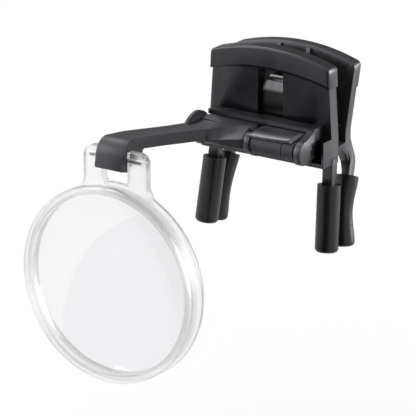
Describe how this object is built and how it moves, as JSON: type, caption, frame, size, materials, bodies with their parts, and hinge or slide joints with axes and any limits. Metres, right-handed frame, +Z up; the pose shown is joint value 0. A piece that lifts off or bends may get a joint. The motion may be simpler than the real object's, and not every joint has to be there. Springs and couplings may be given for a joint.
{
  "type": "clip-on eyeglass loupe",
  "caption": "Clip-on spectacle loupe: a sprung clip with rubber-sleeved legs, a cranked arm that flips up, and a round clear lens that tilts at the arm's end.",
  "frame": {"origin": "middle of the pinch between the four rubber sleeves, where the spectacles are gripped", "axes": "+X to the right as seen from the front, -Y away from the wearer, +Z up"},
  "size_m": [0.0576, 0.0418, 0.066],
  "materials": {
    "moulded_black": "satin moulded",
    "gloss_black": "polished",
    "sleeve_rubber": "soft satin",
    "pin_steel": "blackened",
    "spring_steel": "bright rolled",
    "clear_plastic": "clear polished",
    "lens_clear": "clear polished"
  },
  "bodies": {
    "clip": {"front_jaw": "moulded_black", "front_sleeve_right": "sleeve_rubber", "front_sleeve_left": "sleeve_rubber", "jaw_hinge_pin": "pin_steel", "clamp_spring": "spring_steel", "flip_carrier": "moulded_black", "carrier_screws": "pin_steel", "flip_axle": "pin_steel", "hinge_sleeve": "moulded_black", "flip_coil": "spring_steel", "cam_collar": "moulded_black", "detent_leaf": "spring_steel", "hinge_cover": "gloss_black"},
    "rear": {"rear_jaw": "moulded_black", "rear_sleeve_right": "sleeve_rubber", "rear_sleeve_left": "sleeve_rubber"},
    "arm": {"lens_arm": "moulded_black"},
    "loupe": {"lens_frame": "clear_plastic", "lens": "lens_clear", "lens_retainer": "clear_plastic", "tilt_bar": "moulded_black"}
  },
  "joints": [
    {"name": "jaw_pinch", "type": "hinge", "parent": "clip", "child": "rear", "pos_m": [0, 0.00225, 0.0139], "axis": [1, 0, 0], "range_deg": [0, 12], "stiffness_Nm_per_rad": 0.3, "springref_deg": -20.05, "deforming": ["clamp_spring"]},
    {"name": "arm_flip", "type": "hinge", "parent": "clip", "child": "arm", "pos_m": [0, -0.00855, 0.0153], "axis": [-1, 0, 0], "range_deg": [0, 90]},
    {"name": "lens_tilt", "type": "hinge", "parent": "arm", "child": "loupe", "pos_m": [-0.0193, -0.0282, 0.0138], "axis": [1, 0, 0], "range_deg": [-75, 25]}
  ]
}
